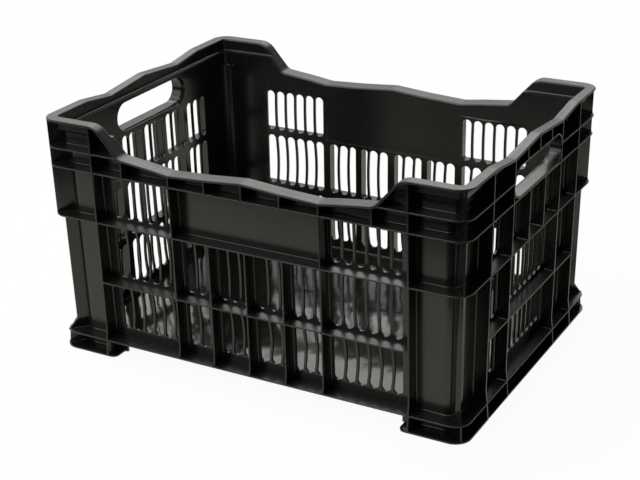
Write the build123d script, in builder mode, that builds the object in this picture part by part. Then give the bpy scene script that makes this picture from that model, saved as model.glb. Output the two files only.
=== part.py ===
from build123d import *
from collections import namedtuple
from math import atan2, cos, hypot, radians, sin, sqrt, tan
import os

os.makedirs("parts", exist_ok=True)

# Overall size of the crate, over the rim and down to the feet
length = 550.0
width = 400.0
height = 300.0
draft = 0.8  # degrees that the walls lean in towards the floor

# Thicknesses
skin = 3.0  # wall skin
web = 2.0  # shelves and ribs
rim = 3.0  # rim flange
floor = 3.0  # floor plate
panel = 2.5  # blank label panel, a little thinner than the wall
collar = 2.0  # wall around the hand hole

# Wall section
depth = 18.0  # skin to the outer edges of the shelves and ribs, on the long sides
end_depth = 16.0  # the same on the ends
step = 5.5  # the skin stands further out above the inside ledge
step_slope = 3.0  # slope under that step, on the outside
low_inset = 0.5  # ribs below the belt stop short of the outer line
base_step = 1.5  # base flange past the outer line
foot_step = 3.2  # foot flange past the outer line
flare = 14.0  # height over which the lowest ribs run out to the base flange
outer_radius = 20.0
skin_radius = 17.0  # corner of the skin, up to the corner shelf
inside_radius = 14.0
high_radius = 8.0  # corner of the skin between the corner shelf and the ledge
high_inside_radius = 5.0
upper_radius = 8.0  # corner of the stepped skin above the ledge
nose_flat = 0.3  # flat left between the roundings of an outer edge
rim_nose = 1.2  # rounding of the rim's outer edges
rim_round = 2.7  # rounding of the rim's inner edge

# Levels: drops from the rim, and the height of the feet
ledge_drop = 15.5
corner_shelf_drop = 35.4
upper_shelf_drop = 58.9
belt_drop = 122.3
foot = 19.6

# Posts and ribs
post_width = 71.0  # outer edge to the post's rib, on the long sides
end_post_width = 68.5  # the same on the ends
panel_rib = 97.6  # rib beside the label panel, from the middle
rib_past_hole = 0.5  # end rib beside the hand hole, past the end of the hole
vent_rib = 23.0  # end rib between shelf and belt, from the middle
slope_rib_inset = 3.3  # rib under the foot of the slope, from that foot

# Rim line of the long sides: runs along the wall and drops from the rim
slope_inset = 8.0  # post to the top of the slope
slope_run = 30.5  # top of the slope to its foot
slope_foot_drop = 35.0
shoulder_run = 11.5  # foot of the slope to the start of the low rim
rise_share = 0.36  # where the low rim turns up, from the panel's rib towards the slope
rise_drop = 40.0
valley_drop = 43.5
swell_drop = 41.0
hump_drop = 37.0
rim_bend = 12.0  # radius of the soft bends
shoulder_bend = 22.0  # radius of the bend at the top of the shoulder

# Rim line of the ends
end_inset = 8.5  # post to the end of the rim's flat
end_run = 50.0  # end of the flat to the valley
end_valley_drop = 6.5

# Hand hole
hole_width = 146.0
hole_clear = 2.15  # hand hole to the underside of the ledge
hole_flare = 2.2  # how much the hole widens at its sides and sill, towards the inside
flare_run = 4.0  # depth over which it widens

# Vents
slot = 12.0
bar = 3.1  # bar between two slots
slot_margin = 4.0  # shelf to slot end
kick = 13.0  # plain band above the base flange
rib_strip = 4.9  # middle of a main rib to the nearest slot, on the long sides
bar_strip = 4.35  # the same at a rib that stands on a bar
post_strip = 12.5  # least plain strip beside the post, on the long sides
end_strip = 8.0  # the same on the ends
bow = 2.0  # sideways bow of the bars of the lowest row
middle_bow = 1.0  # the same in the row above, between the ribs
outer_bow = 1.4  # the same beside the posts, towards the middle
upper_bow = 0.3  # the same above the belt

# Corner bead below the belt
bead = 6.0
bead_inset = 8.6

# Feet
return_reach = 82.0  # foot flange along the long side, from the end
return_skirt = 4.0  # foot's skirt past the end of the flange
return_radius = 8.0

slope = tan(radians(draft))
nose = (web - nose_flat) / 2  # rounding of the outer edges of shelves
collar_nose = (collar - nose_flat) / 2
ledge = height - ledge_drop
ledge_under = ledge - skin
rim_under = height - rim
corner_shelf = height - corner_shelf_drop
corner_top = corner_shelf + web / 2
upper_shelf = height - upper_shelf_drop
belt = height - belt_drop
base = foot + web / 2
base_top = foot + web
lower_shelf = (belt + base) / 2
slot_pitch = slot + bar
rib_places = [i * panel_rib / 2 for i in (-2, -1, 0, 1, 2)]  # ribs of the long sides
post_x = length / 2 - post_width
post_y = width / 2 - end_post_width
slope_top = post_x - slope_inset
slope_foot = slope_top - slope_run
shoulder_start = slope_foot - shoulder_run
slope_rib = slope_foot - slope_rib_inset
rise = panel_rib + (slope_foot - panel_rib) * rise_share
end_flat = post_y - end_inset
end_valley = end_flat - end_run
handle_rib = hole_width / 2 + rib_past_hole  # from the middle
finger_rib = handle_rib / 2  # short rib above the hand hole
hole_bottom = upper_shelf + web / 2 + collar
hole_height = ledge_under - hole_clear - hole_bottom
hole_level = hole_bottom + hole_height / 2
reach_past = 40.0  # how far cutting shapes run past the crate
upright_share = 0.9  # an edge steeper than this counts as upright
upper_face = 0.3  # a face that looks up more than this is an upper face
touch = 0.01  # a point this near an outline lies on it

Side = namedtuple("Side", "plane reach run post depth next_depth")
origin = (0, 0, 0)
front = Side(Plane(origin, (1, 0, 0), (0, -1, 0)), width / 2, length / 2, post_x, depth, end_depth)
back = Side(Plane(origin, (-1, 0, 0), (0, 1, 0)), width / 2, length / 2, post_x, depth, end_depth)
right = Side(Plane(origin, (0, 1, 0), (1, 0, 0)), length / 2, width / 2, post_y, end_depth, depth)
left = Side(Plane(origin, (0, -1, 0), (-1, 0, 0)), length / 2, width / 2, post_y, end_depth, depth)
long_sides = {"front": front, "back": back}
end_sides = {"left": left, "right": right}
all_sides = {**long_sides, **end_sides}

# Each corner: its long side and end, and which way the corner lies along each of them
Corner = namedtuple("Corner", "x y long end along_long along_end")
corners = {
    "front_left": Corner(-1, -1, front, left, -1, 1),
    "front_right": Corner(1, -1, front, right, 1, -1),
    "back_left": Corner(-1, 1, back, left, 1, -1),
    "back_right": Corner(1, 1, back, right, -1, 1),
}


def lean(z):
    return (height - z) * slope


def edge(side, z):
    """Outer line of the shelves and ribs, from the middle of the crate."""
    return side.reach - lean(z)


def face(side, z):
    """Outer face of the wall skin."""
    return edge(side, z) - side.depth


def inner(side, z):
    """Inner face of the wall skin."""
    return face(side, z) - skin


def step_out(side):
    """Outer face of the skin above the ledge."""
    return face(side, ledge_under) + step


def step_in(side):
    """Inner face of the skin above the ledge."""
    return step_out(side) - skin


def across(side, u):
    """Plane that cuts the wall at u, with outwards and up as its axes."""
    return Plane(side.plane.from_local_coords((u, 0, 0)), side.plane.z_dir, -side.plane.x_dir)


def level(side, z):
    """Level plane seen from below, with along and outwards as its axes."""
    return Plane((0, 0, z), side.plane.x_dir, (0, 0, -1))


def shape(points, mode=Mode.ADD):
    with BuildLine() as outline:
        Polyline(*points, close=True)
    make_face(outline.edges(), mode=mode)


def run(side, start, end, points, mode=Mode.ADD):
    """Carries a wall section along the wall."""
    with BuildSketch(across(side, max(start, end))) as section:
        shape(points)
    extrude(section.sketch, amount=abs(end - start), mode=mode)


def block(inward, radius, bottom, top, mode=Mode.ADD):
    """Round-cornered block that leans with the walls, measured inwards from the skin's outer face."""
    outlines = []
    for z in (bottom, top):
        with BuildSketch(Plane.XY.offset(z)) as outline:
            RectangleRounded(2 * (face(right, z) - inward), 2 * (face(front, z) - inward), radius)
        outlines.append(outline.sketch)
    loft(outlines, mode=mode)


def ring(outer, outer_round, hole, hole_round, bottom, top):
    """Upright ring; outer and hole are the half sizes of its outlines."""
    with BuildSketch(Plane.XY.offset(bottom)) as outline:
        RectangleRounded(2 * outer[0], 2 * outer[1], outer_round)
        RectangleRounded(2 * hole[0], 2 * hole[1], hole_round, mode=Mode.SUBTRACT)
    extrude(outline.sketch, amount=top - bottom)


def keep_corner(corner, start_x, start_y):
    """Keeps only what lies in one corner, past start_x and start_y."""
    end_x = length / 2 + reach_past
    end_y = width / 2 + reach_past
    with BuildSketch(Plane.XY) as area:
        with Locations((corner.x * (start_x + end_x) / 2, corner.y * (start_y + end_y) / 2)):
            Rectangle(end_x - start_x, end_y - start_y)
    extrude(area.sketch, amount=height, mode=Mode.INTERSECT)


def offset_line(line, drop):
    """The same line moved square to itself, to the underside of the rim."""
    points, bends = line
    turns = [atan2(b[1] - a[1], b[0] - a[0]) for a, b in zip(points, points[1:])]
    moved = [(points[0][0], points[0][1] - drop / cos(turns[0]))]
    moved_bends = []
    for (u, z), bend, a, b in zip(points[1:-1], bends, turns, turns[1:]):
        middle = (a + b) / 2
        size = drop / cos((b - a) / 2)
        moved.append((u + size * sin(middle), z - size * cos(middle)))
        moved_bends.append(bend + drop if b > a else bend - drop)
    moved.append((points[-1][0], points[-1][1] - drop / cos(turns[-1])))
    return moved, moved_bends


def cut_above(side, line):
    """Takes off everything above a rim line."""
    points, bends = line
    top = height + reach_past
    with BuildSketch(side.plane) as area:
        with BuildLine():
            FilletPolyline(*points, radius=bends)
            Polyline(points[-1], (points[-1][0], top), (points[0][0], top), points[0])
        make_face()
    extrude(area.sketch, amount=side.reach + reach_past, mode=Mode.SUBTRACT)


def rim_band(side, line, start, end):
    """Rim flange that follows a rim line, from start to end outwards."""
    points, bends = line
    under, under_bends = offset_line(line, rim)
    with BuildSketch(side.plane.offset(start)) as band:
        with BuildLine():
            FilletPolyline(*points, radius=bends)
            Line(points[-1], under[-1])
            FilletPolyline(*under, radius=under_bends)
            Line(under[0], points[0])
        make_face()
    extrude(band.sketch, amount=end - start)


def both_ways(half, middle):
    """A half line and its mirror image, joined through the middle."""
    points = [(-u, z) for u, z in reversed(half)] + [middle] + half
    return points, [rim_bend] * (len(points) - 2)


def low_line():
    """Rim line between the shoulders of a long side."""
    part_way = (shoulder_start - rise) / (slope_foot - rise)
    start_drop = rise_drop + (slope_foot_drop - rise_drop) * part_way
    half = [
        (panel_rib / 2, height - swell_drop),
        (panel_rib, height - valley_drop),
        (rise, height - rise_drop),
        (shoulder_start, height - start_drop),
    ]
    return both_ways(half, (0, height - hump_drop))


def shoulder_line(sign):
    """Rim line from the low rim up the shoulder and on to the corner."""
    flat_end = (slope_top + length / 2 - outer_radius) / 2
    start = low_line()[0][-1]
    points = [start, (slope_foot, height - slope_foot_drop), (slope_top, height), (flat_end, height)]
    bends = [rim_bend, shoulder_bend]
    if sign > 0:
        return points, bends
    return [(-u, z) for u, z in reversed(points)], bends[::-1]


def end_line(side):
    """Rim line of an end."""
    half = [(end_valley, height - end_valley_drop), (end_flat, height), (side.post, height)]
    return both_ways(half, (0, height))


def mitre(side, z, edge_past, along_start=None, sign=0):
    """Keeps one side's share of a ring, up to the corner webs, or one end of it."""
    turn_u = side.run - lean(z) + edge_past - outer_radius
    turn_v = edge(side, z) + edge_past - outer_radius
    gap = web / sqrt(2)
    far = outer_radius + reach_past
    near = depth + skin + reach_past
    if along_start is None:
        shape(
            [
                (-turn_u - far + gap, turn_v + far),
                (turn_u + far - gap, turn_v + far),
                (turn_u - near - gap, turn_v - near),
                (-turn_u + near + gap, turn_v - near),
            ],
            mode=Mode.INTERSECT,
        )
    else:
        shape(
            [
                (sign * along_start, turn_v + far),
                (sign * (turn_u + far - gap), turn_v + far),
                (sign * (turn_u - near - gap), turn_v - near),
                (sign * along_start, turn_v - near),
            ],
            mode=Mode.INTERSECT,
        )


def shelf(side, z, past=0.0, along_start=None, sign=0):
    """Level shelf along one side, round to the corner webs."""
    top = z + web / 2
    run_edge = side.run - lean(z) + past
    side_edge = edge(side, z) + past
    with BuildSketch(level(side, top)) as outline:
        RectangleRounded(2 * run_edge, 2 * side_edge, outer_radius)
        RectangleRounded(
            2 * (side.run - lean(top) - side.next_depth), 2 * face(side, top), skin_radius, mode=Mode.SUBTRACT
        )
        mitre(side, z, past, along_start, sign)
    extrude(outline.sketch, amount=web)


def rib(side, u, bottom, top, inset=0.0, to_base=False):
    """Upright rib from the skin to the outer line, centred on u."""
    points = [(face(side, bottom), bottom)]
    if to_base:
        points += [(edge(side, base) + base_step, bottom)]
        points += [(edge(side, bottom + flare) - inset, bottom + flare)]
    else:
        points += [(edge(side, bottom) - inset, bottom)]
    points += [(edge(side, top) - inset, top), (face(side, top), top)]
    run(side, u - web / 2, u + web / 2, points)


def high_rib(side, u, bottom):
    """Rib that goes on above the ledge, outside the stepped skin."""
    points = [
        (face(side, bottom), bottom),
        (edge(side, bottom), bottom),
        (edge(side, rim_under), rim_under),
        (step_out(side), rim_under),
        (step_out(side), ledge_under + step_slope),
        (step_out(side) - step_slope, ledge_under),
        (face(side, ledge_under), ledge_under),
    ]
    run(side, u - web / 2, u + web / 2, points)


def foot_rib(side, u):
    """Rib between the foot flange and the base flange, centred on u."""
    points = [
        (face(side, foot), web),
        (edge(side, 0) + foot_step, web),
        (edge(side, base) + base_step, foot),
        (face(side, foot), foot),
    ]
    run(side, u - web / 2, u + web / 2, points)


def flank(u, bottom, top, sideways):
    """One side of a slot, straight or bowed."""
    if sideways:
        ThreePointArc((u, bottom), (u + sideways, (bottom + top) / 2), (u, top))
    else:
        Line((u, bottom), (u, top))


def opening(start, end, bottom, top, start_bow, end_bow):
    """Upright slot with round ends."""
    middle = (start + end) / 2
    low = bottom + (end - start) / 2
    high = top - (end - start) / 2
    with BuildLine() as outline:
        flank(start, low, high, start_bow)
        ThreePointArc((start, high), (middle, top), (end, high))
        flank(end, low, high, end_bow)
        ThreePointArc((start, low), (middle, bottom), (end, low))
    make_face(outline.edges())


def vents(side, bays, bottom, top, sideways):
    """Slots of some bays; the bars between them bow sideways, and the outer sides are straight."""
    behind = inner(side, bottom) - skin
    with BuildSketch(side.plane.offset(behind)) as slots:
        for slots_of_bay in bays:
            for i, (start, end) in enumerate(slots_of_bay, 1):
                start_bow = sideways if i > 1 else 0
                end_bow = sideways if i < len(slots_of_bay) else 0
                opening(start, end, bottom, top, start_bow, end_bow)
    extrude(slots.sketch, amount=face(side, top) + skin - behind, mode=Mode.SUBTRACT)


def bay(start, end):
    """Sides of the slots that fit between two ribs, centred between them."""
    count = int((end - start - web + bar) / slot_pitch)
    first = (start + end - count * slot_pitch + bar) / 2
    return [(first + i * slot_pitch, first + i * slot_pitch + slot) for i in range(count)]


def bay_from(place, limit, strip, first):
    """Sides of the slots from a rib up to a limit: a first slot past a plain strip, then full ones."""
    way = 1 if limit > place else -1
    full = int((abs(limit - place) - strip - first) / slot_pitch)
    offsets = [(strip, strip + first)]
    for i in range(full):
        near = strip + first + bar + i * slot_pitch
        offsets.append((near, near + slot))
    return sorted(sorted((place + way * near, place + way * far)) for near, far in offsets)


def hand_hole(side, grow, start, end, mode):
    """Long round-ended hole or collar outline, carried outwards from start to end."""
    with BuildSketch(side.plane.offset(start)) as outline:
        with Locations((0, hole_level)):
            SlotOverall(hole_width + 2 * grow, hole_height + 2 * grow)
    extrude(outline.sketch, amount=end - start, mode=mode)


def widen_hole(side):
    """Widens the sides and the sill of the hand hole towards the inside of the crate."""
    outlines = []
    for inward in (flare_run + skin, 0):
        grow = hole_flare * inward / flare_run
        with BuildSketch(side.plane.offset(inner(side, hole_level) + flare_run - inward)) as outline:
            with Locations((0, hole_level - grow / 2)):
                SlotOverall(hole_width + 2 * grow, hole_height + grow)
        outlines.append(outline.sketch)
    loft(outlines, mode=Mode.SUBTRACT)


def wall(side, start, end, bottom, top, thickness=skin):
    """Plain piece of leaning wall skin."""
    points = [
        (face(side, bottom) - thickness, bottom),
        (face(side, bottom), bottom),
        (face(side, top), top),
        (face(side, top) - thickness, top),
    ]
    run(side, start, end, points)


def diagonal(corner, *levels):
    """Web on the corner's diagonal between levels: height, thickness, inset from the outer corner, and root."""
    outlines = []
    for z, thick, inset, root in levels:
        turn_x = length / 2 - lean(z) - outer_radius
        turn_y = width / 2 - lean(z) - outer_radius
        end = outer_radius - inset
        middle = (end + root) / 2 / sqrt(2)
        turn = 45.0 if corner.x == corner.y else -45.0
        with BuildSketch(Plane.XY.offset(z)) as outline:
            with Locations((corner.x * (turn_x + middle), corner.y * (turn_y + middle))):
                Rectangle(end - root, thick, rotation=turn)
        outlines.append(outline.sketch)
    loft(outlines)


def web_root(radius, out, inward):
    """Where a corner web starts on the rounded skin, from the turn of the outer edge."""
    past_x = outer_radius - end_depth + out - radius
    past_y = outer_radius - depth + out - radius
    aside = (past_x - past_y) / sqrt(2)
    return (past_x + past_y) / sqrt(2) + sqrt((radius - inward) ** 2 - aside**2)


def around(point, outline):
    """How far a point lies outside a round-cornered outline."""
    past_x = max(abs(point.X) - outline[0] + outline[2], 0)
    past_y = max(abs(point.Y) - outline[1] + outline[2], 0)
    return hypot(past_x, past_y) - outline[2]


def soften(builder, radius, outline, upper_only=False):
    """Rounds the level and sloping edges that lie on an outline, but not the ledge's."""
    lines = builder.edges()
    if upper_only:
        tops = [top for top in builder.faces() if top.normal_at().Z > upper_face]
        lines = [line for top in tops for line in top.edges()]
    chosen = []
    for line in lines:
        points = [line.position_at(share) for share in (0, 0.5, 1)]
        upright = abs(points[2].Z - points[0].Z) > line.length * upright_share
        on_ledge = abs(points[1].Z - ledge) < touch
        on_line = all(abs(around(point, outline)) < touch for point in points)
        if on_line and not upright and not on_ledge:
            chosen.append(line)
    fillet(chosen, radius)


def outer_line(z, past=0.0):
    """Outline that the shelves reach at a height."""
    return (length / 2 - lean(z) + past, width / 2 - lean(z) + past, outer_radius)


def finish(builder, name):
    builder.part.label = name
    export_step(builder.part, f"parts/{name}.step")


# Floor
with BuildPart() as floor_plate:
    block(skin, inside_radius, foot, foot + floor)
finish(floor_plate, "floor_plate")

# Corner posts: rounded skin, shoulder of the long side, diagonal web and the ribs that frame the post
skin_root = web_root(skin_radius, 0, skin / 2)
high_root = web_root(high_radius, 0, skin / 2)
slope_root = web_root(upper_radius - step_slope, step - step_slope, 0)
step_root = web_root(upper_radius, step, 0)
for name, corner in corners.items():
    with BuildPart() as post:
        block(0, skin_radius, foot, corner_top)
        block(0, high_radius, corner_top, ledge_under)
        block(skin, inside_radius, foot, corner_top, Mode.SUBTRACT)
        block(skin, high_inside_radius, corner_top, ledge_under, Mode.SUBTRACT)
        keep_corner(corner, post_x, post_y)
        shoulder = [corner.along_long * u for u in (shoulder_start, post_x)]
        wall(corner.long, *shoulder, upper_shelf, ledge_under)
        bead_low = (base_top + flare, bead, bead_inset, skin_root)
        bead_high = (belt - web / 2, bead, bead_inset, skin_root)
        slope_high = (ledge_under + step_slope, web, 0, step_root)
        diagonal(corner, (foot, web, -base_step, skin_root), (base_top, web, -base_step, skin_root))
        diagonal(corner, (base_top, web, -base_step, skin_root), bead_low)
        diagonal(corner, bead_low, bead_high)
        diagonal(corner, (belt - web / 2, web, 0, skin_root), (corner_top, web, 0, skin_root))
        diagonal(corner, (corner_top, web, 0, high_root), (ledge_under, web, 0, high_root))
        diagonal(corner, (ledge_under, web, 0, slope_root), slope_high)
        diagonal(corner, slope_high, (rim_under, web, 0, step_root))
        for side, sign in ((corner.long, corner.along_long), (corner.end, corner.along_end)):
            u = sign * (side.post + web / 2)
            rib(side, u, base_top, belt - web / 2, low_inset, True)
            rib(side, u, belt + web / 2, upper_shelf - web / 2)
            rib(side, u, upper_shelf + web / 2, corner_shelf - web / 2)
            high_rib(side, u, corner_shelf + web / 2)
        rib(corner.long, corner.along_long * slope_rib, upper_shelf + web / 2, corner_shelf)
        cut_above(corner.long, offset_line(shoulder_line(corner.along_long), rim))
    finish(post, f"corner_post_{name}")

# Corner shelves: short shelf round each corner, either side of the web
for name, corner in corners.items():
    with BuildPart() as short_shelf:
        shelf(corner.long, corner_shelf, 0.0, shoulder_start, corner.along_long)
        shelf(corner.end, corner_shelf, 0.0, handle_rib + web / 2, corner.along_end)
        soften(short_shelf, nose, outer_line(corner_shelf))
        cut_above(corner.long, offset_line(shoulder_line(corner.along_long), rim))
        hand_hole(corner.end, collar, 0, corner.end.reach + reach_past, Mode.SUBTRACT)
    finish(short_shelf, f"corner_shelf_{name}")

# Corner rims: flat rim, the slope of the shoulder, and the stepped skin with its ledge
step_outline = (step_out(right), step_out(front))
step_hole = (step_in(right), step_in(front))
ledge_hole = (inner(right, ledge_under), inner(front, ledge_under))
for name, corner in corners.items():
    line = shoulder_line(corner.along_long)
    low_inner = inner(corner.long, height - valley_drop)
    with BuildPart() as corner_rim:
        ring((length / 2, width / 2), outer_radius, step_hole, upper_radius - skin, rim_under, height)
        ring(step_outline, upper_radius, step_hole, upper_radius - skin, ledge_under, rim_under)
        ring(step_outline, upper_radius, ledge_hole, high_inside_radius, ledge_under, ledge)
        underside = corner_rim.faces().sort_by(Axis.Z)[0]
        chamfer(underside.outer_wire().edges(), step_slope)
        keep_corner(corner, shoulder_start, post_y)
        cut_above(corner.long, line)
        rim_band(corner.long, line, low_inner, corner.long.reach)
        run(
            corner.long,
            corner.along_long * shoulder_start,
            corner.along_long * (length / 2 - end_depth - skin - high_inside_radius),
            [
                (low_inner - skin, ledge),
                (step_in(corner.long), ledge),
                (step_in(corner.long), height + rim),
                (low_inner - skin, height + rim),
            ],
            Mode.SUBTRACT,
        )
        soften(corner_rim, rim_nose, outer_line(height))
        soften(corner_rim, rim_round, (*step_hole, upper_radius - skin), True)
        soften(corner_rim, rim_round, (length, low_inner, outer_radius), True)
    finish(corner_rim, f"corner_rim_{name}")

# Corner feet: skirt, foot flange and ribs, wrapped round onto the long sides
skirt_outline = (face(right, foot), face(front, foot))
skirt_hole = (inner(right, foot), inner(front, foot))
foot_outline = (edge(right, 0) + foot_step, edge(front, 0) + foot_step)
return_x = length / 2 - return_reach
for name, corner in corners.items():
    with BuildPart() as corner_foot:
        ring(skirt_outline, skin_radius, skirt_hole, inside_radius, 0, foot)
        keep_corner(corner, return_x - return_skirt, post_y)
        with BuildSketch(Plane.XY):
            RectangleRounded(2 * foot_outline[0], 2 * foot_outline[1], outer_radius)
            RectangleRounded(2 * skirt_hole[0], 2 * skirt_hole[1], inside_radius, mode=Mode.SUBTRACT)
            far_x = length / 2 + reach_past
            far_y = width / 2 + reach_past
            with Locations((corner.x * (return_x + far_x) / 2, corner.y * (post_y + far_y) / 2)):
                Rectangle(far_x - return_x, far_y - post_y, mode=Mode.INTERSECT)
            flange_end = Vector(corner.x * return_x, corner.y * foot_outline[1])
            fillet(vertices().sort_by_distance(flange_end)[0], return_radius)
        extrude(amount=web)
        for side, sign in ((corner.long, corner.along_long), (corner.end, corner.along_end)):
            foot_rib(side, sign * (side.post + web / 2))
        diagonal(corner, (web, web, -foot_step, skin_root), (foot, web, -base_step, skin_root))
    finish(corner_foot, f"corner_foot_{name}")

# Long sides
for name, side in long_sides.items():
    with BuildPart() as vent_wall:
        wall(side, -side.post, side.post, foot, upper_shelf)
        run(
            side,
            -panel_rib,
            panel_rib,
            [
                (inner(side, belt) - skin, belt),
                (edge(side, belt), belt),
                (edge(side, belt), height),
                (inner(side, belt) - skin, height),
            ],
            Mode.SUBTRACT,
        )
        mid_bays = []
        for place in (-panel_rib / 2, panel_rib / 2):
            for way in (-1, 1):
                limit = place + way * (panel_rib / 2 - rib_strip)
                mid_bays.append(bay_from(place, limit, bar_strip, slot_pitch - bar / 2 - bar_strip))
        vents(side, mid_bays, lower_shelf + slot_margin, belt - slot_margin, middle_bow)
        vents(side, mid_bays, base + kick, lower_shelf - slot_margin, bow)
        for way in (-1, 1):
            end_bays = [bay_from(way * panel_rib, way * (side.post - post_strip), rib_strip, slot)]
            vents(side, end_bays, belt + slot_margin, upper_shelf - slot_margin, upper_bow)
            vents(side, end_bays, lower_shelf + slot_margin, belt - slot_margin, -way * outer_bow)
            vents(side, end_bays, base + kick, lower_shelf - slot_margin, bow)
    finish(vent_wall, f"{name}_wall")

    with BuildPart() as label_panel:
        wall(side, -panel_rib, panel_rib, belt, upper_shelf, panel)
    finish(label_panel, f"{name}_label_panel")

    with BuildPart() as top_band:
        wall(side, -shoulder_start, shoulder_start, upper_shelf, height - slope_foot_drop)
        cut_above(side, offset_line(low_line(), rim))
    finish(top_band, f"{name}_top_band")

    with BuildPart() as low_rim:
        rim_band(side, low_line(), inner(side, height - valley_drop), side.reach)
        soften(low_rim, rim_nose, outer_line(height))
        soften(low_rim, rim_round, (length, inner(side, height - valley_drop), outer_radius), True)
    finish(low_rim, f"{name}_rim")

    with BuildPart() as short_ribs:
        for u in rib_places:
            rib(side, u, upper_shelf + web / 2, height - slope_foot_drop)
        cut_above(side, offset_line(low_line(), rim))
    finish(short_ribs, f"{name}_top_ribs")

    with BuildPart() as wall_ribs:
        for u in (-panel_rib, panel_rib):
            rib(side, u, belt + web / 2, upper_shelf - web / 2)
        for u in rib_places:
            rib(side, u, lower_shelf + web / 2, belt - web / 2, low_inset)
            rib(side, u, base_top, lower_shelf - web / 2, low_inset, True)
    finish(wall_ribs, f"{name}_wall_ribs")

# Ends
for name, side in end_sides.items():
    with BuildPart() as end_wall:
        wall(side, -side.post, side.post, foot, upper_shelf)
        outer_bays = [bay(handle_rib, side.post - end_strip), bay(end_strip - side.post, -handle_rib)]
        upper_bays = [bay(vent_rib, handle_rib), bay(-handle_rib, -vent_rib), bay(-vent_rib, vent_rib)]
        lower_bays = [bay(-handle_rib, handle_rib)]
        vents(side, outer_bays + upper_bays, belt + slot_margin, upper_shelf - slot_margin, upper_bow)
        vents(side, outer_bays + lower_bays, lower_shelf + slot_margin, belt - slot_margin, middle_bow)
        vents(side, outer_bays + lower_bays, base + kick, lower_shelf - slot_margin, bow)
    finish(end_wall, f"{name}_wall")

    with BuildPart() as handle_panel:
        wall(side, -side.post, side.post, upper_shelf, ledge_under)
        hand_hole(side, 0, 0, side.reach, Mode.SUBTRACT)
        widen_hole(side)
        inside = handle_panel.faces().sort_by(Axis(origin, side.plane.z_dir))[0]
        fillet(inside.inner_wires()[0].edges(), collar_nose)
    finish(handle_panel, f"{name}_handle_panel")

    with BuildPart() as handle_collar:
        bottom = hole_level - hole_height
        top = hole_level + hole_height
        hand_hole(side, collar, 0, side.reach, Mode.ADD)
        hand_hole(side, 0, 0, side.reach, Mode.SUBTRACT)
        widen_hole(side)
        run(
            side,
            -hole_width,
            hole_width,
            [(0, bottom), (face(side, bottom), bottom), (face(side, top), top), (0, top)],
            Mode.SUBTRACT,
        )
        run(
            side,
            -hole_width,
            hole_width,
            [
                (edge(side, bottom), bottom),
                (side.reach + skin, bottom),
                (side.reach + skin, top),
                (edge(side, top), top),
            ],
            Mode.SUBTRACT,
        )
        outside = handle_collar.faces().sort_by(Axis(origin, side.plane.z_dir))[-1]
        fillet(outside.edges(), collar_nose)
    finish(handle_collar, f"{name}_handle_collar")

    with BuildPart() as end_rim:
        run(
            side,
            -side.post,
            side.post,
            [
                (inner(side, ledge_under), ledge_under),
                (step_out(side) - step_slope, ledge_under),
                (step_out(side), ledge_under + step_slope),
                (step_out(side), height),
                (step_in(side), height),
                (step_in(side), ledge),
                (inner(side, ledge_under), ledge),
            ],
        )
        cut_above(side, end_line(side))
        rim_band(side, end_line(side), step_in(side), side.reach)
        soften(end_rim, rim_nose, outer_line(height))
        soften(end_rim, rim_round, (step_in(side), width, outer_radius), True)
    finish(end_rim, f"{name}_rim")

    with BuildPart() as handle_ribs:
        for u in (-handle_rib, handle_rib):
            high_rib(side, u, upper_shelf + web / 2)
        for u in (-finger_rib, 0, finger_rib):
            high_rib(side, u, hole_level)
        hand_hole(side, collar, 0, side.reach, Mode.SUBTRACT)
        cut_above(side, offset_line(end_line(side), rim))
    finish(handle_ribs, f"{name}_handle_ribs")

    with BuildPart() as end_ribs:
        for u in (-handle_rib, handle_rib):
            rib(side, u, lower_shelf + web / 2, belt - web / 2, low_inset)
            rib(side, u, base_top, lower_shelf - web / 2, low_inset, True)
        for u in (-handle_rib, -vent_rib, vent_rib, handle_rib):
            rib(side, u, belt + web / 2, upper_shelf - web / 2)
    finish(end_ribs, f"{name}_wall_ribs")

    with BuildPart() as foot_rail:
        run(
            side,
            -side.post,
            side.post,
            [
                (inner(side, foot), 0),
                (edge(side, 0) + foot_step, 0),
                (edge(side, 0) + foot_step, web),
                (face(side, foot), web),
                (face(side, foot), foot),
                (inner(side, foot), foot),
            ],
        )
        for u in (-handle_rib, handle_rib):
            foot_rib(side, u)
    finish(foot_rail, f"{name}_foot_rail")

# Shelves that run along every side
for name, side in all_sides.items():
    with BuildPart() as upper:
        shelf(side, upper_shelf)
        soften(upper, nose, outer_line(upper_shelf))
    finish(upper, f"{name}_upper_shelf")

    with BuildPart() as middle:
        shelf(side, belt)
        soften(middle, nose, outer_line(belt))
    finish(middle, f"{name}_belt")

    with BuildPart() as lower:
        bottom = lower_shelf - web / 2
        top = lower_shelf + web / 2
        run(
            side,
            -side.post,
            side.post,
            [
                (face(side, bottom), bottom),
                (edge(side, bottom) - low_inset, bottom),
                (edge(side, top) - low_inset, top),
                (face(side, top), top),
            ],
        )
    finish(lower, f"{name}_lower_shelf")

    with BuildPart() as base_flange:
        shelf(side, base, base_step)
        soften(base_flange, nose, outer_line(base, base_step))
    finish(base_flange, f"{name}_base_flange")
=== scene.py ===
"""Looks of a ventilated harvest crate: black moulded plastic on a white studio stage."""

import functools
import math
from typing import NamedTuple

import bpy
import numpy as np
from mathutils import Matrix, Vector
from mathutils.bvhtree import BVHTree


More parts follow.
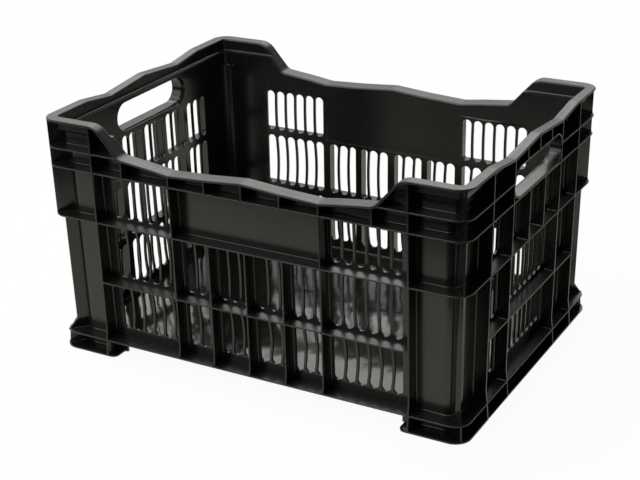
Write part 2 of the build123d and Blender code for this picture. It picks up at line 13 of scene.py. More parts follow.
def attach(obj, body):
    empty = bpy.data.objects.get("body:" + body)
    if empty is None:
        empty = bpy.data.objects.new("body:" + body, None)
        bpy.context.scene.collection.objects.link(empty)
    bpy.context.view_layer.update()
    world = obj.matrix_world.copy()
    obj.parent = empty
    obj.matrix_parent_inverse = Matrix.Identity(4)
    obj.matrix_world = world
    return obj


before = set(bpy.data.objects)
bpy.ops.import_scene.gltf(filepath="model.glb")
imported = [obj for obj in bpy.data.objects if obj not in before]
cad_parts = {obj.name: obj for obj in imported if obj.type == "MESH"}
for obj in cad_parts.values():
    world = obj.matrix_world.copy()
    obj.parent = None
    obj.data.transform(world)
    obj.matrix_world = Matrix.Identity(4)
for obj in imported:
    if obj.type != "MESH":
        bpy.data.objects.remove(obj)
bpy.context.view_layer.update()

bl_info = {
    "name": "Ventilated Crate",
    "version": (1, 0, 0),
    "blender": (4, 5, 0),
    "location": "View3D > Sidebar > Crate",
    "description": "Rounds the crate's edges, fills its inside corners and gives it moulded plastic",
    "category": "Object",
}

BODY = "root"
MM = 0.001


# Sizes and colours that a user would change


class CrateEdges(bpy.types.PropertyGroup):
    """Rounding of the moulding's free edges and inside corners."""

    rib_edge: bpy.props.FloatProperty(
        name="Rib edge", description="Rounding of the free edges of posts, shelves and short ribs",
        default=0.55 * MM, unit="LENGTH"
    )
    slot_edge: bpy.props.FloatProperty(
        name="Slot edge", description="Rounding of the long walls' vents and ribs, the panels and the floor",
        default=0.6 * MM, unit="LENGTH"
    )
    end_slot_edge: bpy.props.FloatProperty(
        name="End slot edge", description="Rounding of the ends' vents and ribs",
        default=0.3 * MM, unit="LENGTH"
    )
    rim_edge: bpy.props.FloatProperty(
        name="Rim edge", description="Rounding of the rim's lower edges and its ledge",
        default=1.2 * MM, unit="LENGTH"
    )
    foot_edge: bpy.props.FloatProperty(
        name="Foot edge", description="Rounding of the free edges of foot rails and corner feet",
        default=0.7 * MM, unit="LENGTH"
    )
    cove: bpy.props.FloatProperty(
        name="Cove", description="Radius of the inside corners between walls, shelves and ribs",
        default=1.5 * MM, unit="LENGTH"
    )


class CrateFinish(bpy.types.PropertyGroup):
    """Colours and gloss of the plastic."""

    body: bpy.props.FloatVectorProperty(
        name="Body", description="Colour of the clean plastic",
        default=(0.0070, 0.0068, 0.0062), subtype="COLOR", size=3, min=0, max=1
    )
    scuff: bpy.props.FloatVectorProperty(
        name="Scuff", description="Colour of rubbed and dusty places",
        default=(0.030, 0.030, 0.030), subtype="COLOR", size=3, min=0, max=1
    )
    satin: bpy.props.FloatProperty(
        name="Satin", description="Roughness of panels, posts, ribs and feet",
        default=0.22, subtype="FACTOR", min=0, max=1
    )
    gloss: bpy.props.FloatProperty(
        name="Gloss", description="Roughness of the slotted walls, which the floor's follows",
        default=0.18, subtype="FACTOR", min=0, max=1
    )
    shelf: bpy.props.FloatProperty(
        name="Shelf", description="Roughness of shelves and flanges",
        default=0.34, subtype="FACTOR", min=0, max=1
    )
    rim: bpy.props.FloatProperty(
        name="Rim", description="Roughness of the rubbed rim",
        default=0.32, subtype="FACTOR", min=0, max=1
    )
    crown: bpy.props.FloatProperty(
        name="Crown", description="Height of the floor's middle over its long edges, in the shading only",
        default=10 * MM, unit="LENGTH"
    )


class CrateStage(bpy.types.PropertyGroup):
    """Camera, floor and lights."""

    azimuth: bpy.props.FloatProperty(
        name="Azimuth", description="Camera's bearing, from straight in front",
        default=math.radians(29.30), subtype="ANGLE"
    )
    elevation: bpy.props.FloatProperty(
        name="Elevation", description="Camera's height above the horizon",
        default=math.radians(23.375), subtype="ANGLE"
    )
    roll: bpy.props.FloatProperty(
        name="Roll", description="Camera's lean to one side",
        default=math.radians(-1.319), subtype="ANGLE"
    )
    distance: bpy.props.FloatProperty(
        name="Distance", description="Camera to the point it looks at",
        default=1.8265, unit="LENGTH"
    )
    target: bpy.props.FloatVectorProperty(
        name="Target", description="Point that the camera looks at",
        default=(-0.0050, -0.0124, 0.12168), subtype="XYZ", unit="LENGTH", size=3
    )
    lens: bpy.props.FloatProperty(
        name="Lens", description="Focal length on a 36 mm sensor, in millimetres",
        default=82.57
    )
    floor_colour: bpy.props.FloatVectorProperty(
        name="Floor", description="Colour of the floor",
        default=(0.86, 0.86, 0.86), subtype="COLOR", size=3, min=0, max=1
    )
    floor_warmth: bpy.props.FloatVectorProperty(
        name="Floor in reflections", description="Colour of the floor as the plastic mirrors it",
        default=(1.0, 0.94, 0.80), subtype="COLOR", size=3, min=0, max=1
    )
    sheet_front: bpy.props.FloatProperty(
        name="Sheet front", description="Middle of the crate to the front edge of the white sheet",
        default=0.65, unit="LENGTH"
    )
    sheet_slant: bpy.props.FloatProperty(
        name="Sheet slant", description="How much the sheet's front edge runs back towards the right",
        default=0.50
    )
    # Brightness of the sheet inside the painted shadow of the crate, beside its right end
    sheet_in_painted_shadow: bpy.props.FloatProperty(
        name="Sheet right", description="Brightness of the sheet beside the crate's right end",
        default=0.22, min=0, max=1
    )
    room: bpy.props.FloatProperty(
        name="Room", description="Strength of the dim room",
        default=0.12, min=0
    )
    back_wall: bpy.props.FloatProperty(
        name="Back wall", description="Strength that the pale back of the room adds",
        default=0.55, min=0
    )
    back_light: bpy.props.FloatProperty(
        name="Back light", description="Power of the soft lamp behind, in watts",
        default=31.0, min=0
    )
    top_light: bpy.props.FloatProperty(
        name="Top light", description="Power of the soft lamp overhead, in watts",
        default=35.0, min=0
    )
    front_light: bpy.props.FloatProperty(
        name="Front light", description="Power of the soft lamp at the front left, in watts",
        default=20.0, min=0
    )
    lamp_colour: bpy.props.FloatVectorProperty(
        name="Lamps", description="Colour of the lamps",
        default=(1.0, 0.98, 0.955), subtype="COLOR", size=3, min=0, max=1
    )


# Edges of the moulding


SHARP = math.radians(28)  # a bend under this is part of a round face
NEAR = 0.09 * MM  # faces this close touch
PROBE = 0.3 * MM  # how far inside a face it is tested
STRETCH = 2 * MM  # length of edge that is tested at a time
FACING = 0.8  # cosine past which two faces count as facing
SQUARE = 0.5  # cosine under which two faces are square enough for a cove
MICRONS = 1e6  # in a metre; points that agree to a micron are one point
WELD = 0.002 * MM  # points this close are joined before edges are rounded
EDGE_STEPS = 2  # faces across a rounded edge
LARGE_FACES = 100  # how much large faces rule the shading beside a rounded edge
COVE_STEPS = 4  # faces across a cove
COVE_SINK = 0.04 * MM  # how deep a cove's hidden edge lies in the moulding
FLAT = ("_belt", "_lower_shelf", "_base_flange")  # these meet the slotted walls in a sharp corner
SLOTTED = ("_wall",)


class Edge:
    """One straight stretch of an edge of a solid, with the two faces that meet there."""

    def __init__(self, node, ends, places, normals, inward):
        self.node = node
        self.ends = ends
        self.places = places  # index of the edge in the mesh, once for each face
        self.normals = normals
        self.inward = inward  # direction from the edge into each face
        self.middle = (ends[0] + ends[1]) / 2

    def convex(self):
        return self.inward[1].dot(self.normals[0]) < 0


def solid_edges(name):
    """Sharp edges of one node's solids."""
    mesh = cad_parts[name].data
    points = [vertex.co.copy() for vertex in mesh.vertices]
    uses = {}
    for face in mesh.polygons:
        for place in (mesh.loops[i].edge_index for i in face.loop_indices):
            uses.setdefault(place, []).append(face)
    meeting = {}
    for place, faces in uses.items():
        if len(faces) == 1:
            ends = [points[i] for i in mesh.edges[place].vertices]
            key = tuple(sorted(tuple(round(x * MICRONS) for x in end) for end in ends))
            meeting.setdefault(key, []).append((place, faces[0], ends))
    for pair in meeting.values():
        if len(pair) != 2:
            continue
        normals = [face.normal.copy() for _, face, _ in pair]
        if normals[0].angle(normals[1], 0) < SHARP:
            continue
        ends = pair[0][2]
        along = (ends[1] - ends[0]).normalized()
        inward = []
        for _, face, _ in pair:
            way = face.center - ends[0]
            inward.append((way - along * way.dot(along)).normalized())
        yield Edge(name, ends, [place for place, _, _ in pair], normals, inward)


class Survey:
    """Finds which edges of the moulding are free, and where its faces meet in an inside corner."""

    def __init__(self):
        corners, faces, self.owner = [], [], []
        for name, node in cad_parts.items():
            start = len(corners)
            corners += [vertex.co.copy() for vertex in node.data.vertices]
            for face in node.data.polygons:
                faces.append([start + i for i in face.vertices])
                self.owner.append(name)
        self.tree = BVHTree.FromPolygons(corners, faces)
        self.free = {name: [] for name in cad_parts}
        self.inside = {name: [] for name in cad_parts}
        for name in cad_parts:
            for edge in solid_edges(name):
                self.sort(edge)

    def touching(self, point, normal, name):
        """Normal of a face of another node that lies against a face at a point."""
        for _, other, index, _ in self.tree.find_nearest_range(point, NEAR):
            if self.owner[index] != name and other.dot(normal) < -FACING:
                return other
        return None

    def against(self, point, name, words):
        """True if a point lies on another node whose name ends with one of the words."""
        found = self.tree.find_nearest_range(point, NEAR)
        return any(self.owner[i] != name and self.owner[i].endswith(words) for _, _, i, _ in found)

    def held(self, edge, point):
        """For each face of an edge, the face of another node that lies against it at a point."""
        return [
            self.touching(point + inward * PROBE, normal, edge.node)
            for inward, normal in zip(edge.inward, edge.normals)
        ]

    def corner(self, edge, point):
        """Normals of the two faces that meet in an inside corner at a point of an edge, or None."""
        if edge.node.endswith(FLAT) and self.against(point, edge.node, SLOTTED):
            return None
        held = self.held(edge, point)
        if held[0] is None and held[1] is None:
            return None if edge.convex() else edge.normals
        if held[0] is not None and held[1] is not None:
            return None
        open_side = 0 if held[0] is None else 1
        normal, wall = edge.normals[open_side], held[1 - open_side]
        return [normal, wall] if self.wall_goes_on(point + normal * PROBE * 2, wall, edge.node) else None

    def sort(self, edge):
        """Files an edge as free, or its stretches as inside corners."""
        if edge.convex() and self.held(edge, edge.middle) == [None, None]:
            self.free[edge.node].append(edge)
            return
        start, end = edge.ends
        count = max(1, round((end - start).length / STRETCH))
        begun, normals = None, None
        for i in range(count + 1):
            found = self.corner(edge, start.lerp(end, (i + 0.5) / count)) if i < count else None
            if found and begun is None:
                begun, normals = i, found
            if begun is not None and not found:
                ends = [start.lerp(end, begun / count), start.lerp(end, i / count)]
                self.inside[edge.node].append((ends, normals))
                begun = None

    def wall_goes_on(self, point, wall, name):
        """True if the wall that an edge stands on shows beside that edge."""
        found = self.tree.find_nearest_range(point, NEAR)
        shows = any(self.owner[i] != name and n.dot(wall) > FACING for _, n, i, _ in found)
        covered = any(n.dot(wall) < -FACING for _, n, _, _ in found)
        return shows and not covered


@functools.cache
def survey():
    return Survey()


def round_edges(name, size):
    """Rounds a node's free edges with modifiers, so that its own mesh stays as it is."""
    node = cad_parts[name]
    mesh = node.data
    weights = np.zeros(len(mesh.edges), np.float32)
    sharp = np.zeros(len(mesh.edges), bool)
    for edge in solid_edges(name):
        sharp[edge.places] = True
    for edge in survey().free[name]:
        weights[edge.places] = 1
        sharp[edge.places] = False
    if "custom_normal" in mesh.attributes:
        mesh.attributes.remove(mesh.attributes["custom_normal"])
    mesh.attributes.new("bevel_weight_edge", "FLOAT", "EDGE").data.foreach_set("value", weights)
    marks = mesh.attributes.get("sharp_edge") or mesh.attributes.new("sharp_edge", "BOOLEAN", "EDGE")
    marks.data.foreach_set("value", sharp)
    mesh.polygons.foreach_set("use_smooth", np.ones(len(mesh.polygons), bool))
    weld = node.modifiers.new("joined faces", "WELD")
    weld.merge_threshold = WELD
    bevel = node.modifiers.new("rounded edges", "BEVEL")
    bevel.limit_method = "WEIGHT"
    bevel.width = size
    bevel.segments = EDGE_STEPS
    bevel.loop_slide = False
    bevel.use_clamp_overlap = True
    normals = node.modifiers.new("even shading", "WEIGHTED_NORMAL")
    normals.keep_sharp = True
    normals.weight = LARGE_FACES


def cove_strip(corners, faces, ends, normals, radius):
    """Adds one stretch of hollow-rounded inside corner to a mesh's lists."""
    first, second = normals
    start = len(corners)
    for end in ends:
        corners.append(end - (first + second) * COVE_SINK)
        centre = end + (first + second) * radius
        for i in range(COVE_STEPS + 1):
            turn = math.pi / 2 * i / COVE_STEPS
            corners.append(centre - (second * math.cos(turn) + first * math.sin(turn)) * radius)
    count = COVE_STEPS + 2
    ring = [list(range(start + k * count, start + (k + 1) * count)) for k in range(2)]
    for i in range(count):
        j = (i + 1) % count
        faces.append((ring[0][i], ring[0][j], ring[1][j], ring[1][i]))
    faces.append(tuple(reversed(ring[0])))
    faces.append(tuple(ring[1]))


def coves(name, nodes, radius):
    """One piece with the hollow-rounded inside corners of several nodes."""
    corners, faces = [], []
    for node in nodes:
        for ends, normals in survey().inside[node]:
            if abs(normals[0].dot(normals[1])) < SQUARE:
                cove_strip(corners, faces, ends, normals, radius)
    mesh = bpy.data.meshes.new(name)
    mesh.from_pydata(corners, [], faces)
    mesh.validate()
    piece = bpy.data.objects.new(name, mesh)
    bpy.context.scene.collection.objects.link(piece)
    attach(piece, BODY)
    return piece


# Shader maths


class Wire:
    """A node's output that can be used in Python sums."""

    def __init__(self, board, socket):
        self.board = board
        self.socket = socket

    def maths(self, operation, *values):
        return self.board.node("ShaderNodeMath", {"operation": operation}, dict(enumerate(values)))

    def __add__(self, other):
        return self.maths("ADD", self, other)

    def __radd__(self, other):
        return self.maths("ADD", other, self)

    def __sub__(self, other):
        return self.maths("SUBTRACT", self, other)

    def __rsub__(self, other):
        return self.maths("SUBTRACT", other, self)

    def __mul__(self, other):
        return self.maths("MULTIPLY", self, other)

    def __rmul__(self, other):
        return self.maths("MULTIPLY", other, self)

    def most(self, other):
        return self.maths("MAXIMUM", self, other)

    def least(self, other):
        return self.maths("MINIMUM", self, other)

    def between(self, low, high):
        """0 at low and under, 1 at high and over, with a soft step between."""
        return self.board.node(
            "ShaderNodeMapRange",
            {"interpolation_type": "SMOOTHSTEP"},
            {"Value": self, "From Min": low, "From Max": high},
        )


class Marks(NamedTuple):
    """A noise that marks the plastic."""

    per_metre: tuple  # marks to a metre along x, y and z
    detail: float = 2.0
    harshness: float = 0.5


class Board:
    """A node tree that nodes are added to one at a time."""

    def __init__(self, tree):
        self.tree = tree
        tree.nodes.clear()

    def node(self, kind, settings=None, inputs=None, output=0):
        """Adds a node: its settings first, then the values or links of its sockets."""
        made = self.tree.nodes.new(kind)
        for name, value in (settings or {}).items():
            setattr(made, name, value)
        for name, value in (inputs or {}).items():
            socket = made.inputs[name]
            if isinstance(value, Wire):
                self.tree.links.new(value.socket, socket)
            else:
                socket.default_value = value
        return Wire(self, made.outputs[output]) if made.outputs else made

    def place(self):
        """Place in the object's own frame."""
        return self.node("ShaderNodeTexCoord", {}, {}, "Object")

    def part_of(self, vector, axis):
        """One coordinate of a vector."""
        return self.node("ShaderNodeSeparateXYZ", {}, {0: vector}, axis)

    def ray(self, kind):
        """1 for light paths of one kind, 0 for others."""
        return self.node("ShaderNodeLightPath", {}, {}, kind)

    def mix(self, factor, first, second):
        """Colour between two colours."""
        colours = {0: factor, 6: first, 7: second}  # the colour sockets of the Mix node
        return self.node("ShaderNodeMix", {"data_type": "RGBA"}, colours, 2)

    def noise(self, place, marks):
        """Noise with its marks spread over a place."""
        spread = self.node("ShaderNodeVectorMath", {"operation": "MULTIPLY"}, {0: place, 1: marks.per_metre})
        inputs = {"Vector": spread, "Scale": 1.0, "Detail": marks.detail, "Roughness": marks.harshness}
        return self.node("ShaderNodeTexNoise", {}, inputs, "Fac")

    def bump(self, height, depth, under=None):
        """Normal that follows a height, over another normal if there is one."""
        inputs = {"Height": height, "Distance": depth, "Strength": 1.0}
        if under is not None:
            inputs["Normal"] = under
        return self.node("ShaderNodeBump", {}, inputs, "Normal")


def colour(values):
    """Colour with nothing see-through."""
    return (*values, 1.0)


# Plastic


FLOW = Marks((14, 14, 3.5), detail=3)
CLOUDS = Marks((38, 38, 38), detail=4, harshness=0.6)
SPECKS = Marks((900, 900, 900))
GRAIN = Marks((1500, 1500, 1500))
SWELLS = Marks((55, 55, 55), detail=1.5)
FLOOR_SWELLS = Marks((30, 21, 30), detail=1.5)
LYING_SCRATCHES = Marks((42, 588, 588))
UPRIGHT_SCRATCHES = Marks((552, 552, 41.4))
LONG_STREAKS = Marks((7, 330, 60), detail=3)
END_STREAKS = Marks((330, 7, 60), detail=3)
MEAN = 0.5  # mean of a noise

# Values at which a mark begins and is full
LYING_SCRATCH = (0.66, 0.74)
UPRIGHT_SCRATCH = (0.68, 0.76)
DUST_LEVEL = (0.6, 0.95)  # of the upward part of a face's normal
DUST_CLOUD = (0.42, 0.75)
DUST_SPECK = (0.45, 0.7)
DULL_CLOUD = (0.55, 0.85)

# How much a mark wears the colour
SCRATCH_WEAR = 0.28
DUST_WEAR = 0.3
CLOUD_WEAR = 0.12

# How much a mark changes the roughness
FLOW_ROUGH = 0.10
CLOUD_ROUGH = 0.10
WEAR_ROUGH = 0.10
STREAK_ROUGH = 0.35

PLASTIC_IOR = 1.49
FLOOR_POLISH = 0.6  # roughness of the floor as a share of the slotted walls'
CROWN_REACH = 0.18  # middle of the floor to where its crown ends, just past the long edges


def plastic(name, roughness, waves, grain, streaks=None, swells=SWELLS, crown=0.0):
    """Black moulded plastic: flow marks, soft waves, fine grain, scuffs, dust and rubbed streaks."""
    finish = bpy.context.scene.crate_finish
    material = bpy.data.materials.new(name)
    material.use_nodes = True
    board = Board(material.node_tree)
    place = board.place()
    normal = board.node("ShaderNodeNewGeometry", {}, {}, "Normal")
    facing_up = board.part_of(normal, "Z")

    flow = board.noise(place, FLOW)
    cloud = board.noise(place, CLOUDS)
    speck = board.noise(place, SPECKS)
    lying = board.noise(place, LYING_SCRATCHES).between(*LYING_SCRATCH)
    upright = board.noise(place, UPRIGHT_SCRATCHES).between(*UPRIGHT_SCRATCH)
    scratch = lying.most(upright)
    dust = facing_up.between(*DUST_LEVEL) * cloud.between(*DUST_CLOUD) * speck.between(*DUST_SPECK)
    dull = cloud.between(*DULL_CLOUD)
    worn = (scratch * SCRATCH_WEAR + dust * DUST_WEAR + dull * CLOUD_WEAR).least(1.0)

    shade = board.mix(worn, colour(finish.body), colour(finish.scuff))
    rough = (flow - MEAN) * FLOW_ROUGH + (cloud - MEAN) * CLOUD_ROUGH + worn * WEAR_ROUGH + roughness
    if streaks:
        rough = rough + (board.noise(place, streaks) - MEAN) * STREAK_ROUGH
    skin = board.bump(board.noise(place, swells), waves)
    if crown:
        across = board.part_of(place, "Y") * (1 / CROWN_REACH)
        skin = board.bump(1.0 - across * across, crown, skin)
    skin = board.bump(board.noise(place, GRAIN), grain, skin)
    shader = board.node(
        "ShaderNodeBsdfPrincipled",
        {},
        {"Base Color": shade, "Roughness": rough, "Normal": skin, "IOR": PLASTIC_IOR},
    )
    board.node("ShaderNodeOutputMaterial", {}, {"Surface": shader})
    return material


@functools.cache
def satin_plastic():
    finish = bpy.context.scene.crate_finish
    return plastic("satin_plastic", finish.satin, waves=0.08 * MM, grain=0.004 * MM)


@functools.cache
def glossy_plastic():
    finish = bpy.context.scene.crate_finish
    return plastic("glossy_plastic", finish.gloss, waves=0.10 * MM, grain=0.002 * MM)


@functools.cache
def shelf_plastic():
    finish = bpy.context.scene.crate_finish
    return plastic("shelf_plastic", finish.shelf, waves=0.08 * MM, grain=0.003 * MM)


@functools.cache
def rim_plastic(name, streaks):
    finish = bpy.context.scene.crate_finish
    return plastic(name, finish.rim, waves=0.06 * MM, grain=0.003 * MM, streaks=streaks)


@functools.cache
def floor_plastic():
    finish = bpy.context.scene.crate_finish
    return plastic(
        "floor_plastic", finish.gloss * FLOOR_POLISH, waves=0.9 * MM, grain=0.001 * MM,
        swells=FLOOR_SWELLS, crown=finish.crown
    )


def nodes_like(*words):
    """Names of the CAD nodes that start or end with one of the words."""
    return [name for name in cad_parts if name.startswith(words) or name.endswith(words)]


def dress(names, size, material):
    """Rounds the nodes' free edges and gives them their plastic."""
    if not names:
        raise RuntimeError("the frame has no node for this group")
    for name in names:
        round_edges(name, size)
        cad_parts[name].data.materials[0] = material


# Pieces


class CRATE_OT_floor(bpy.types.Operator):
    """Give the floor plate its glossy moulded face"""

    bl_idname = "crate.floor"
    bl_label = "Floor"

    def execute(self, context):
        dress(nodes_like("floor_plate"), context.scene.crate_edges.slot_edge, floor_plastic())
        return {"FINISHED"}


class CRATE_OT_walls(bpy.types.Operator):
    """Round the vent slots of the four walls"""

    bl_idname = "crate.walls"
    bl_label = "Slotted walls"

    def execute(self, context):
        edges = context.scene.crate_edges
        dress(("front_wall", "back_wall"), edges.slot_edge, glossy_plastic())
        dress(("left_wall", "right_wall"), edges.end_slot_edge, glossy_plastic())
        return {"FINISHED"}


class CRATE_OT_panels(bpy.types.Operator):
    """Finish the plain panels and the collars of the hand holes"""

    bl_idname = "crate.panels"
    bl_label = "Panels and hand holes"

    def execute(self, context):
        names = nodes_like("_label_panel", "_top_band", "_handle_panel", "_handle_collar")
        dress(names, context.scene.crate_edges.slot_edge, satin_plastic())
        return {"FINISHED"}


class CRATE_OT_posts(bpy.types.Operator):
    """Finish the corner posts"""

    bl_idname = "crate.posts"
    bl_label = "Corner posts"

    def execute(self, context):
        dress(nodes_like("corner_post"), context.scene.crate_edges.rib_edge, satin_plastic())
        return {"FINISHED"}


class CRATE_OT_ribs(bpy.types.Operator):
    """Round the noses of the upright ribs"""

    bl_idname = "crate.ribs"
    bl_label = "Ribs"

    def execute(self, context):
        edges = context.scene.crate_edges
        dress(nodes_like("_top_ribs", "_handle_ribs"), edges.rib_edge, satin_plastic())
        dress(("front_wall_ribs", "back_wall_ribs"), edges.slot_edge, satin_plastic())
        dress(("left_wall_ribs", "right_wall_ribs"), edges.end_slot_edge, satin_plastic())
        return {"FINISHED"}


class CRATE_OT_shelves(bpy.types.Operator):
    """Finish the shelves, belts and base flanges"""

    bl_idname = "crate.shelves"
    bl_label = "Shelves"

    def execute(self, context):
        names = nodes_like("_upper_shelf", "_belt", "_lower_shelf", "_base_flange", "corner_shelf")
        dress(names, context.scene.crate_edges.rib_edge, shelf_plastic())
        return {"FINISHED"}


class CRATE_OT_rims(bpy.types.Operator):
    """Finish the rims and their corners"""

    bl_idname = "crate.rims"
    bl_label = "Rims"

    def execute(self, context):
        size = context.scene.crate_edges.rim_edge
        long_rim = rim_plastic("long_rim_plastic", LONG_STREAKS)
        dress(nodes_like("front_rim", "back_rim", "corner_rim"), size, long_rim)
        dress(nodes_like("left_rim", "right_rim"), size, rim_plastic("end_rim_plastic", END_STREAKS))
        return {"FINISHED"}


class CRATE_OT_feet(bpy.types.Operator):
    """Finish the foot rails and corner feet"""

    bl_idname = "crate.feet"
    bl_label = "Feet"

    def execute(self, context):
        names = nodes_like("_foot_rail", "corner_foot")
        dress(names, context.scene.crate_edges.foot_edge, satin_plastic())
        return {"FINISHED"}


class CRATE_OT_coves(bpy.types.Operator):
    """Fill the moulding's inside corners with small hollow roundings"""

    bl_idname = "crate.coves"
    bl_label = "Inside corners"

    def execute(self, context):
        radius = context.scene.crate_edges.cove
        for side in ("front", "back", "left", "right", "corner"):
            piece = coves(f"{side}_coves", [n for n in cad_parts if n.startswith(side)], radius)
            piece.data.materials.append(satin_plastic())
        piece = coves("floor_coves", ["floor_plate"], radius)
        piece.data.materials.append(floor_plastic())
        return {"FINISHED"}


# Stage


FLOOR_REACH = 6.0  # middle of the stage floor to its edges
FLOOR_DROP = 0.2 * MM  # gap under the feet, so that no face lies in another
TABLE = (0.03, 0.03, 0.03, 1)  # dark table round the white sheet
WHITE = (1, 1, 1, 1)
SHEET_BEND = 0.05  # how far left of the middle the sheet's front edge starts to slant
SHEET_LEAN = 0.07  # slant of the whole front edge
SHEET_BLUR = 0.03  # half the width of its soft edge
PAINTED_SHADOW_ACROSS = (0.25, 0.45)  # where a painted shadow of the crate begins on the sheet, towards the right
PAINTED_SHADOW_DEPTH = (-0.32, -0.18)  # where that painted shadow begins, towards the back
PAINTED_SHADOW_END = (0.37, 0.42)  # where the painted shadow ends and the sheet is bright again, to the right of the crate
PAINTED_SHADOW_END_LEAN = 0.35  # how much that line runs to the right towards the back
SEEN_GLOW = 0.95  # share of the floor that glows for the camera
MIRROR_GLOW = 0.85  # share of the sheet that glows in reflections
ROOM_BACK = (-0.5, 0.866, 0)  # direction of the room's pale back
ROOM_EDGE = (0.2, 0.95)  # cosine to that direction at which the room turns pale and is palest
SENSOR = 36.0  # width of the camera's sensor, in millimetres


def area_lamp(name, power, size, place, aim):
    """Large soft lamp that faces a point."""
    lamp = bpy.data.lights.new(name, "AREA")
    lamp.energy = power
    lamp.color = bpy.context.scene.crate_stage.lamp_colour
    lamp.shape = "RECTANGLE"
    lamp.size, lamp.size_y = size
    holder = bpy.data.objects.new(name, lamp)
    holder.location = place
    holder.rotation_euler = (Vector(aim) - Vector(place)).to_track_quat("-Z", "Y").to_euler()
    bpy.context.scene.collection.objects.link(holder)


def white_floor(stage):
    """Floor that the camera sees white all over, and the plastic mirrors as a sheet on a dark table, with a
    painted shadow of the crate on the sheet beside its right end.
    """
    material = bpy.data.materials.new("white_floor")
    material.use_nodes = True
    board = Board(material.node_tree)
    camera = board.ray("Is Camera Ray")
    mirrored = board.ray("Is Glossy Ray").most(board.ray("Is Transmission Ray"))
    place = board.place()
    across = board.part_of(place, "X")
    depth = board.part_of(place, "Y")

    forward = depth - ((across + SHEET_BEND).most(0.0) * stage.sheet_slant + across * SHEET_LEAN)
    on_sheet = forward.between(-stage.sheet_front - SHEET_BLUR, -stage.sheet_front + SHEET_BLUR)
    past_painted_shadow = (across - depth * PAINTED_SHADOW_END_LEAN).between(*PAINTED_SHADOW_END)
    # Painted shadow of the crate: it darkens the sheet to the crate's right, in reflections and in the light
    # the sheet bounces
    dim = across.between(*PAINTED_SHADOW_ACROSS) * depth.between(*PAINTED_SHADOW_DEPTH) * (1.0 - past_painted_shadow)
    sheet = on_sheet * (1.0 - dim * (1.0 - stage.sheet_in_painted_shadow))

    shade = board.mix(camera.most(sheet), TABLE, colour(stage.floor_colour))
    glow = board.mix(camera, colour(stage.floor_warmth), WHITE)
    matt = board.node("ShaderNodeBsdfDiffuse", {}, {"Color": shade})
    white = board.node("ShaderNodeEmission", {}, {"Color": glow, "Strength": 1.0})
    seen = (camera * SEEN_GLOW).most(mirrored * sheet * MIRROR_GLOW)
    mixed = board.node("ShaderNodeMixShader", {}, {0: seen, 1: matt, 2: white})
    board.node("ShaderNodeOutputMaterial", {}, {"Surface": mixed})
    return material


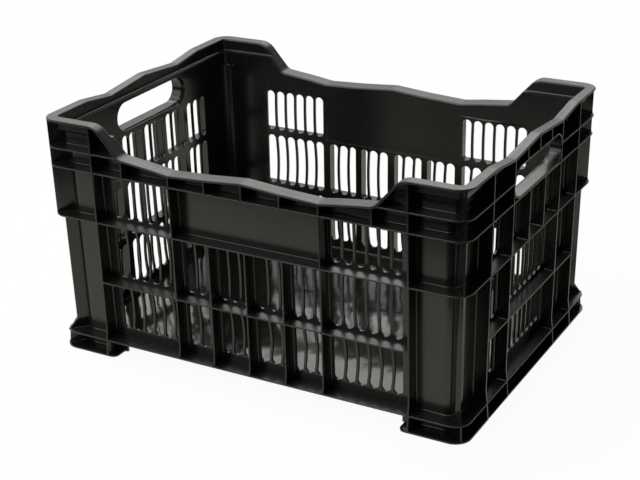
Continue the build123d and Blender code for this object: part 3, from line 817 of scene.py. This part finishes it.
class CRATE_OT_stage(bpy.types.Operator):
    """Set up the white floor, the lights and the camera"""

    bl_idname = "crate.stage"
    bl_label = "Stage"

    def execute(self, context):
        stage = context.scene.crate_stage
        self.floor(stage)
        self.room(context.scene, stage)
        self.lamps(stage)
        self.camera(context.scene, stage)
        context.scene.view_settings.view_transform = "Standard"
        return {"FINISHED"}

    def floor(self, stage):
        reach, low = FLOOR_REACH, -FLOOR_DROP
        corners = [(-reach, -reach, low), (reach, -reach, low), (reach, reach, low), (-reach, reach, low)]
        mesh = bpy.data.meshes.new("stage_floor")
        mesh.from_pydata(corners, [], [(0, 1, 2, 3)])
        mesh.materials.append(white_floor(stage))
        floor = bpy.data.objects.new("stage_floor", mesh)
        bpy.context.scene.collection.objects.link(floor)

    def room(self, scene, stage):
        world = bpy.data.worlds.new("room")
        scene.world = world
        world.use_nodes = True
        board = Board(world.node_tree)
        way = board.node("ShaderNodeTexCoord", {}, {}, "Generated")
        behind = board.node(
            "ShaderNodeVectorMath", {"operation": "DOT_PRODUCT"}, {0: way, 1: ROOM_BACK}, "Value"
        )
        strength = behind.between(*ROOM_EDGE) * stage.back_wall + stage.room
        light = board.node("ShaderNodeBackground", {}, {"Color": WHITE, "Strength": strength})
        board.node("ShaderNodeOutputWorld", {}, {"Surface": light})

    def lamps(self, stage):
        area_lamp(
            "back_lamp", stage.back_light, size=(2.4, 1.8), place=(-0.95, 1.65, 1.95), aim=(0, 0, 0.28)
        )
        area_lamp(
            "top_lamp", stage.top_light, size=(2.2, 2.0), place=(-0.5, -0.45, 2.2), aim=(0, 0, 0.2)
        )
        area_lamp(
            "front_lamp", stage.front_light, size=(1.8, 1.8), place=(-0.95, -1.7, 1.45), aim=(0, 0, 0.2)
        )

    def camera(self, scene, stage):
        right = Vector((math.cos(stage.azimuth), math.sin(stage.azimuth), 0))
        ground = Vector((math.sin(stage.azimuth), -math.cos(stage.azimuth), 0))
        back = ground * math.cos(stage.elevation) + Vector((0, 0, math.sin(stage.elevation)))
        up = back.cross(right)
        leaning = right * math.cos(stage.roll) + up * math.sin(stage.roll)
        upright = up * math.cos(stage.roll) - right * math.sin(stage.roll)
        lens = bpy.data.cameras.new("camera")
        lens.lens = stage.lens
        lens.sensor_width = SENSOR
        camera = bpy.data.objects.new("camera", lens)
        turn = Matrix((leaning, upright, back)).transposed().to_4x4()
        camera.matrix_world = Matrix.Translation(Vector(stage.target) + back * stage.distance) @ turn
        scene.collection.objects.link(camera)
        scene.camera = camera


OPERATORS = (
    CRATE_OT_floor,
    CRATE_OT_walls,
    CRATE_OT_panels,
    CRATE_OT_posts,
    CRATE_OT_ribs,
    CRATE_OT_shelves,
    CRATE_OT_rims,
    CRATE_OT_feet,
    CRATE_OT_coves,
    CRATE_OT_stage,
)


class CRATE_PT_sidebar(bpy.types.Panel):
    """Lists the crate's pieces and sizes"""

    bl_idname = "CRATE_PT_sidebar"
    bl_label = "Crate"
    bl_space_type = "VIEW_3D"
    bl_region_type = "UI"
    bl_category = "Crate"

    def draw(self, context):
        for operator in OPERATORS:
            self.layout.operator(operator.bl_idname)
        for group in (context.scene.crate_edges, context.scene.crate_finish, context.scene.crate_stage):
            box = self.layout.box()
            for name in group.__annotations__:
                box.prop(group, name)


GROUPS = {"crate_edges": CrateEdges, "crate_finish": CrateFinish, "crate_stage": CrateStage}


def register():
    for kind in (*GROUPS.values(), *OPERATORS, CRATE_PT_sidebar):
        bpy.utils.register_class(kind)
    for name, kind in GROUPS.items():
        setattr(bpy.types.Scene, name, bpy.props.PointerProperty(type=kind))


def unregister():
    for name in GROUPS:
        delattr(bpy.types.Scene, name)
    for kind in (CRATE_PT_sidebar, *reversed(OPERATORS), *GROUPS.values()):
        bpy.utils.unregister_class(kind)


def main():
    register()
    for operator in OPERATORS:
        group, name = operator.bl_idname.split(".")
        getattr(getattr(bpy.ops, group), name)()


if __name__ == "__main__":
    main()
